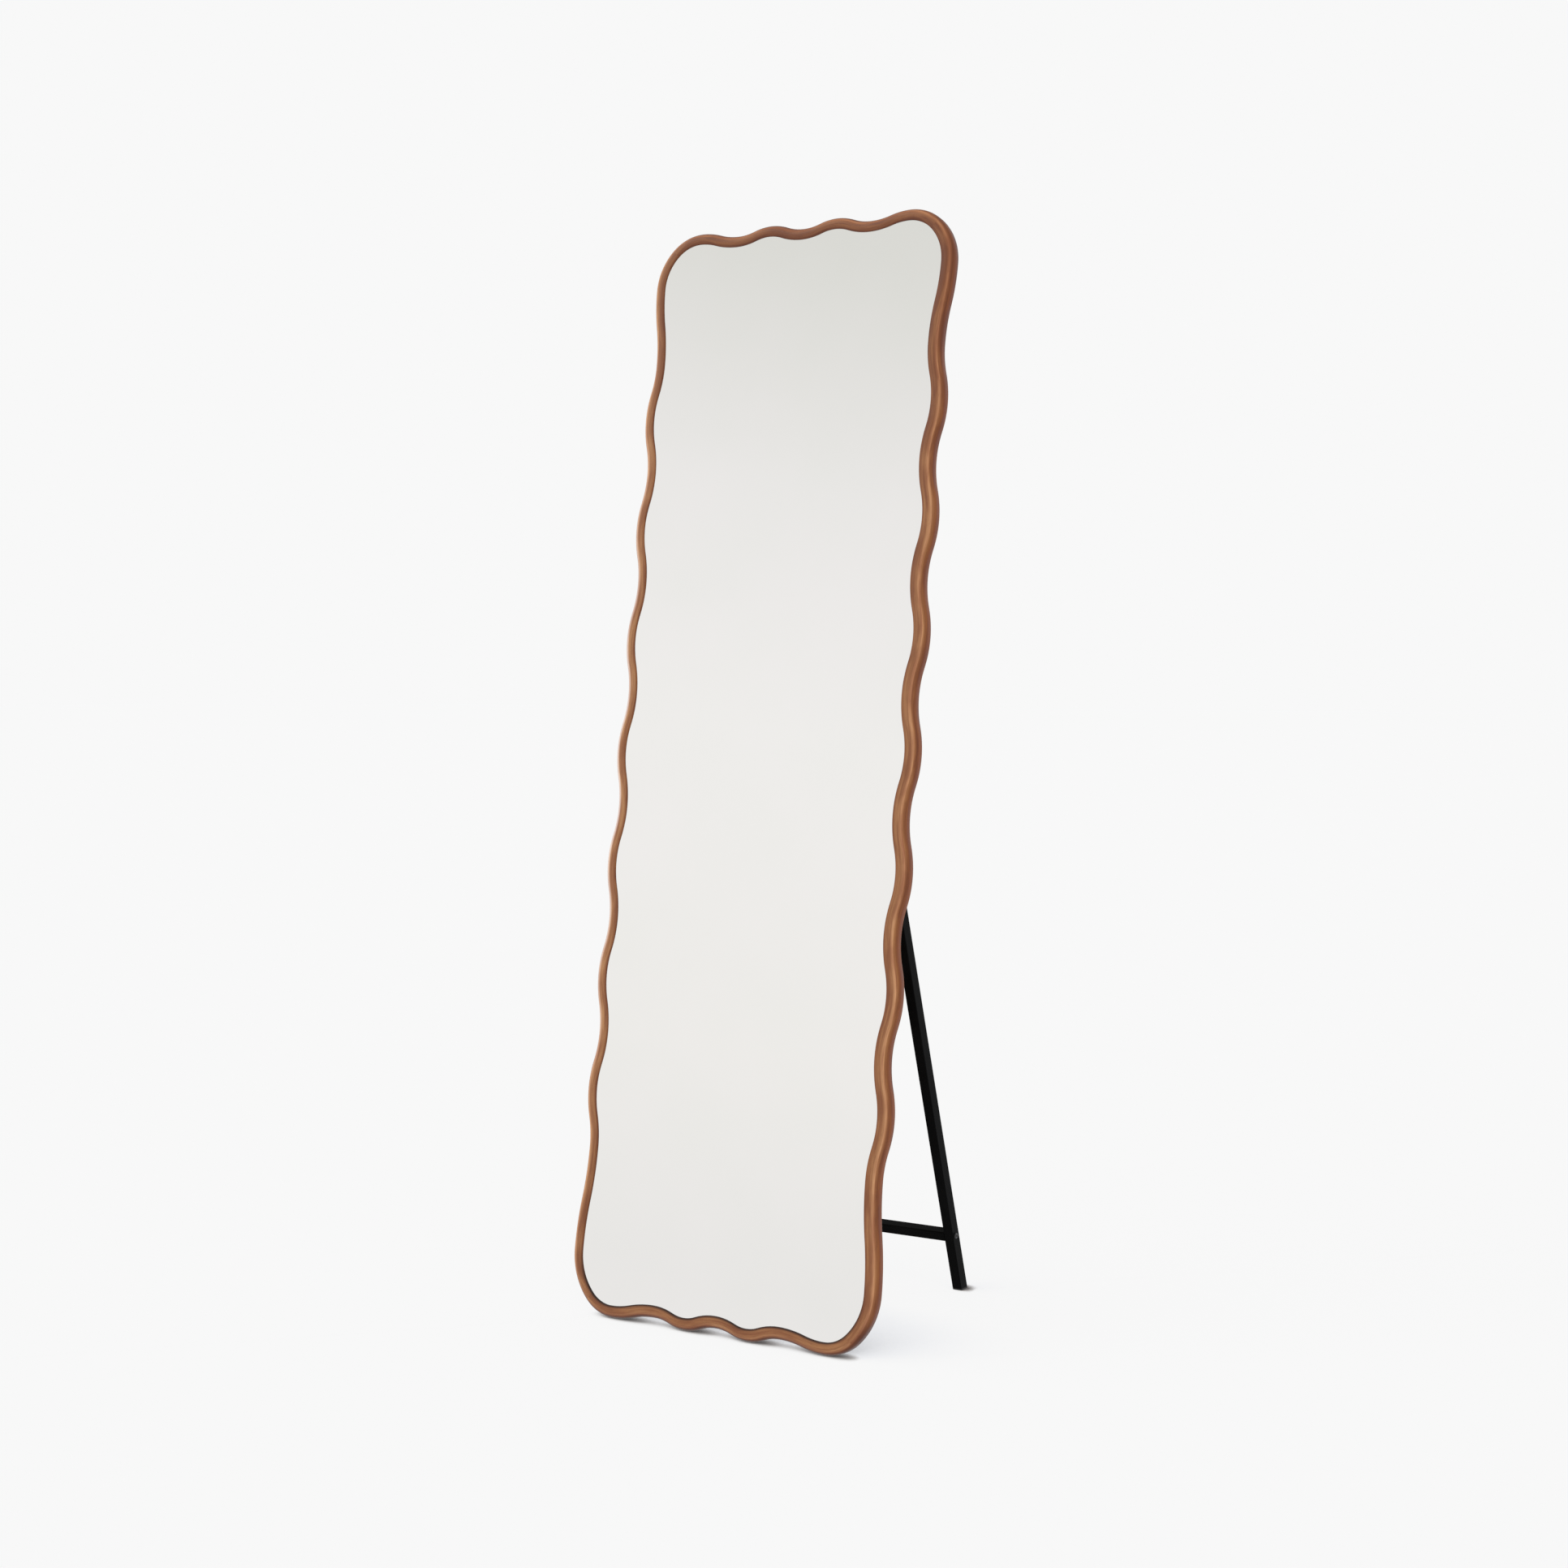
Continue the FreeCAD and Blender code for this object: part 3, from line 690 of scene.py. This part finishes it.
def makeScrew(name, size):
    # modelled upright, its seat on the floor: a head over a shank with a pointed tip
    head, shank = size["head"] / 2 * mm, size["shank"] / 2 * mm
    rise, sink = size["rise"] * mm, size["sink"] * mm
    tip = screws["tipLength"] * mm
    thick = rise + sink
    bpy.ops.object.select_all(action="DESELECT")
    bpy.ops.mesh.primitive_cone_add(
        vertices=screws["sides"], radius1=shank if sink else head, radius2=head, depth=thick,
        location=(0, 0, rise - thick / 2))
    obj = bpy.context.object
    obj.name = name
    applyPlace(obj, Matrix())
    editMode(obj)
    selectFaces(obj, lambda face: face.normal.z < -0.9)  # the underside
    if not sink:
        bpy.ops.mesh.inset(thickness=head - shank)
    body = size["length"] * mm - sink - tip
    bpy.ops.mesh.extrude_region_move(TRANSFORM_OT_translate={"value": (0, 0, -body)})
    bpy.ops.mesh.extrude_region_move(TRANSFORM_OT_translate={"value": (0, 0, -tip)})
    taper = screws["tipShare"]
    bpy.ops.transform.resize(value=(taper, taper, 1), center_override=(0, 0, 0))
    selectVertices(obj, lambda point: point.z > rise - 0.01 * mm)  # the top
    rounding = screws["domeShare"] * rise if rise else screws["rim"] * mm
    segments = screws["domeSegments"] if rise else screws["rimSegments"]
    bpy.ops.mesh.select_mode(type="EDGE")
    bpy.ops.mesh.bevel(offset=rounding, segments=segments, affect="EDGES")
    objectMode()
    for turn in (0, math.pi / 2):
        cutRecess(obj, size, rise, turn)
    bpy.ops.object.shade_smooth_by_angle(angle=math.radians(screws["smoothAngle"]))
    return obj


def cutRecess(obj, size, top, turn):
    # one arm of the cross, cut by a blade that narrows downwards
    depth = size["recessDepth"] * mm
    bpy.ops.object.select_all(action="DESELECT")
    bpy.ops.mesh.primitive_cube_add(size=1, location=(0, 0, top))
    blade = bpy.context.object
    blade.scale = (size["recessSpan"] * mm, size["recessWidth"] * mm, 2 * depth)
    applyPlace(blade, Matrix.Rotation(turn, 4, "Z"))
    editMode(blade)
    selectVertices(blade, lambda point: point.z < top)
    taper = screws["bladeShare"]
    bpy.ops.transform.resize(value=(taper, taper, 1), center_override=(0, 0, top))
    objectMode()
    only(obj)
    cut = obj.modifiers.new("recess", "BOOLEAN")
    cut.operation = "DIFFERENCE"
    cut.solver = "EXACT"
    cut.object = blade
    bpy.ops.object.modifier_apply(modifier=cut.name)
    bpy.data.objects.remove(blade)


def screwPlaces():
    # on the flat mirror, in mm: the board's at the bulges and valleys, four on each bracket
    side = wave["width"] / 2 - screws["inset"]
    middle = wave["height"] / 2 + wave["sideRise"]
    valley = wave["endDepth"] + screws["inset"]
    last = wave["sideCount"] - 1
    board = [(sign * side, middle + number * wave["sideHalf"])
             for number in range(-last, last + 1, 2) for sign in (-1, 1)]
    for half, height in ((wave["topHalf"], wave["height"] - valley), (wave["bottomHalf"], valley)):
        board += [(number * half, height) for number in (-2, 0, 2)]
    stepX, stepY = screws["bracketStep"]
    bracket = [(sign * screws["legOffset"] + x * stepX, stance["hingeUp"] + y * stepY)
               for sign in (-1, 1) for x in (-1, 1) for y in (-1, 1)]
    return {"board": board, "bracket": bracket}


def driveScrews(kind, places):
    # one screw is modelled, copied to each place with its own turn, and the copies joined
    size = screws[kind]
    pattern = makeScrew(kind + "_screw", size)
    copies = []
    for number, (x, y) in enumerate(places):
        copy = pattern.copy()
        copy.data = pattern.data.copy()
        bpy.context.scene.collection.objects.link(copy)
        place = Matrix.Translation(Vector((x, y, -size["depth"])) * mm)
        turned = Matrix.Rotation(math.pi, 4, "X") @ Matrix.Rotation(
            math.radians(screws["turnEach"] * number), 4, "Z")
        applyPlace(copy, standing @ place @ turned)
        copies.append(copy)
    bpy.data.objects.remove(pattern)
    bpy.ops.object.select_all(action="DESELECT")
    for copy in copies:
        copy.select_set(True)
    bpy.context.view_layer.objects.active = copies[0]
    bpy.ops.object.join()
    joined = bpy.context.object
    joined.name = kind + "_screws_driven"
    paint(joined, brightZinc)
    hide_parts(kind + "_screws")
    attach(joined, "mirror")


for kind, places in screwPlaces().items():
    driveScrews(kind, places)
print("screws driven")


# The pieces that stay as the frame gives them get only their finish.
def dressNodes():
    finishes = {
        mirrorSilver: ["mirror_glass"],
        fibreboard: ["backing_board"],
        blackCoat: [
            "left_hinge_bracket", "right_hinge_bracket", "left_leg", "right_leg", "crossbar"],
        brightZinc: ["left_pivot_bolt", "right_pivot_bolt", "pivot_nuts", "crossbar_inserts"],
        blackZinc: ["crossbar_screws"],
        capPlastic: ["left_leg_cap", "right_leg_cap"],
        footRubber: ["left_foot", "right_foot"],
        bushNylon: ["pivot_bushes"],
        padFoam: ["foam_pads"],
        dowelBeech: ["corner_dowels"],
    }
    for material, names in finishes.items():
        for name in names:
            paintNode(name, material)


dressNodes()
print("carried pieces dressed")


camera = {
    "place": (1.6476, -2.7989, 0.9159),  # metres
    "yaw": 30.60,
    "pitch": -2.67,
    "lens": 51.24,
    "sensor": 36,
    "sight": 200,  # metres, past the floor's far edge
}


def makeCamera():
    data = bpy.data.cameras.new("camera")
    data.lens = camera["lens"]
    data.sensor_width = camera["sensor"]
    data.clip_end = camera["sight"]
    obj = bpy.data.objects.new("camera", data)
    bpy.context.scene.collection.objects.link(obj)
    obj.location = camera["place"]
    obj.rotation_euler = (math.radians(90 + camera["pitch"]), 0, math.radians(camera["yaw"]))
    bpy.context.scene.camera = obj


# A pale paper floor in a white room. Sizes and reaches are in metres here, and each ramp goes
# from the closed end to the open one, or for the walls from the horizon up.
studio = {
    "white": "#F8F8F8",
    "walls": [(0.0, "#F1F1F1"), (0.10, "#F6F6F5"), (0.24, "#F8F8F8"), (0.345, "#F2F2F2"),
              (0.44, "#E3E4E1"), (0.62, "#D8D9D6")],
    "floorSize": 120,
    "floorTint": "#DCDCDC",
    "floorGlow": 0.95,  # how much of the seen floor is its own even white
    "farFloor": "#F1F1F1",
    "shadeReach": 0.26,
    "frontOpen": (0.0, -0.99, 0.155),
    "leftOpen": (-0.85, -0.50, 0.155),
    "shade": [(0.42, "#7F7F84"), (0.57, "#AFB0B4"), (0.66, "#E0E1E4"), (0.82, "#EFF0F3"),
              (0.95, "#F9F9F9")],
    "contactReach": 0.017,
    "contactOpen": (-0.52, -0.84, 0.155),
    "contact": [(0.45, "#4B4643"), (0.68, "#75706D"), (0.83, "#BFBBB8"), (0.94, "#FFFFFF")],
    "shadeSamples": 12,
    "dimSide": 0.58,
    "litSide": 1.22,
    "litFrom": (-0.64, -0.60, 0.48),
    "sunPower": 0.5,
    "sunAngle": 30,
    "sunFrom": (-0.60, -0.52, 0.61),
}


def seenShare(tree, cameraShare):
    # the camera's rays get their share, those that a gloss or clear glass sends out 1, light 0
    path = addNode(tree, "LightPath")
    direct = addNode(tree, "Math", {
        0: path.outputs["Is Camera Ray"], 1: cameraShare}, operation="MULTIPLY")
    bounced = addNode(tree, "Math", {
        0: path.outputs["Is Glossy Ray"], 1: path.outputs["Is Transmission Ray"]},
        operation="MAXIMUM")
    share = addNode(tree, "Math", {
        0: direct.outputs["Value"], 1: bounced.outputs["Value"]}, operation="MAXIMUM")
    return share.outputs["Value"]


def makeFloor():
    bpy.ops.object.select_all(action="DESELECT")
    bpy.ops.mesh.primitive_plane_add(size=studio["floorSize"], location=(0, 0, 0))
    floor = bpy.context.object
    floor.name = "studioFloor"
    material = newMaterial("studioPaper")
    tree = material.node_tree
    paper = addNode(tree, "BsdfDiffuse", {"Color": toLinear(studio["floorTint"])})

    def openTo(side, reach):
        # how much of one side of the floor's surroundings is open, within a reach
        toward = addNode(tree, "CombineXYZ", dict(zip("XYZ", studio[side])))
        return addNode(tree, "AmbientOcclusion", {
            "Distance": studio[reach], "Normal": toward.outputs["Vector"]},
            samples=studio["shadeSamples"]).outputs["AO"]

    # the seen paper keeps the object's shade: soft behind it and to its right, where neither
    # the front nor the left is open, and dark close to what touches the floor
    openness = addNode(tree, "Math", {
        0: openTo("frontOpen", "shadeReach"), 1: openTo("leftOpen", "shadeReach")},
        operation="MAXIMUM")
    cast = addNode(tree, "ValToRGB", {"Fac": openness.outputs["Value"]}, stops=studio["shade"])
    contact = addNode(tree, "ValToRGB", {
        "Fac": openTo("contactOpen", "contactReach")}, stops=studio["contact"])
    shade = addNode(tree, "Mix", {
        0: 1.0, 6: cast.outputs["Color"], 7: contact.outputs["Color"]},
        data_type="RGBA", blend_type="MULTIPLY")
    path = addNode(tree, "LightPath")
    seen = addNode(tree, "Mix", {
        0: path.outputs["Is Glossy Ray"], 6: shade.outputs[2], 7: toLinear(studio["farFloor"])},
        data_type="RGBA")
    glow = addNode(tree, "Emission", {"Color": seen.outputs[2], "Strength": 1.0})
    mixed = addNode(tree, "MixShader", {
        0: seenShare(tree, studio["floorGlow"]), 1: paper.outputs["BSDF"],
        2: glow.outputs["Emission"]})
    addNode(tree, "OutputMaterial", {"Surface": mixed.outputs["Shader"]})
    floor.data.materials.append(material)


def makeWorld():
    world = bpy.data.worlds.new("studioWorld")
    world.use_nodes = True
    tree = world.node_tree
    tree.nodes.clear()
    direction = addNode(tree, "TexCoord").outputs["Generated"]
    # soft light that is strongest from the front left, above
    toward = addNode(tree, "VectorMath", {
        0: direction, 1: Vector(studio["litFrom"]).normalized()}, operation="DOT_PRODUCT")
    strength = addNode(tree, "MapRange", {
        "Value": toward.outputs["Value"], "From Min": -1.0, "From Max": 1.0,
        "To Min": studio["dimSide"], "To Max": studio["litSide"]})
    light = addNode(tree, "Background", {
        "Color": (1.0, 1.0, 1.0, 1.0), "Strength": strength.outputs["Result"]})
    # the white studio that is seen, whose ceiling is greyer where the glass shows it
    height = addNode(tree, "SeparateXYZ", {"Vector": direction})
    walls = addNode(tree, "ValToRGB", {"Fac": height.outputs["Z"]}, stops=studio["walls"])
    path = addNode(tree, "LightPath")
    backdrop = addNode(tree, "Mix", {
        0: path.outputs["Is Camera Ray"], 6: walls.outputs["Color"], 7: toLinear(studio["white"])},
        data_type="RGBA")
    white = addNode(tree, "Background", {"Color": backdrop.outputs[2], "Strength": 1.0})
    mixed = addNode(tree, "MixShader", {
        0: seenShare(tree, 1.0), 1: light.outputs["Background"],
        2: white.outputs["Background"]})
    addNode(tree, "OutputWorld", {"Surface": mixed.outputs["Shader"]})
    bpy.context.scene.world = world


def makeLights():
    sun = bpy.data.lights.new("softKey", "SUN")
    sun.energy = studio["sunPower"]
    sun.angle = math.radians(studio["sunAngle"])
    obj = bpy.data.objects.new("softKey", sun)
    bpy.context.scene.collection.objects.link(obj)
    obj.rotation_mode = "QUATERNION"
    obj.rotation_quaternion = Vector(studio["sunFrom"]).to_track_quat("Z", "Y")


makeCamera()
makeFloor()
makeWorld()
makeLights()
bpy.context.scene.view_settings.view_transform = "Standard"
print("camera, floor and light set")
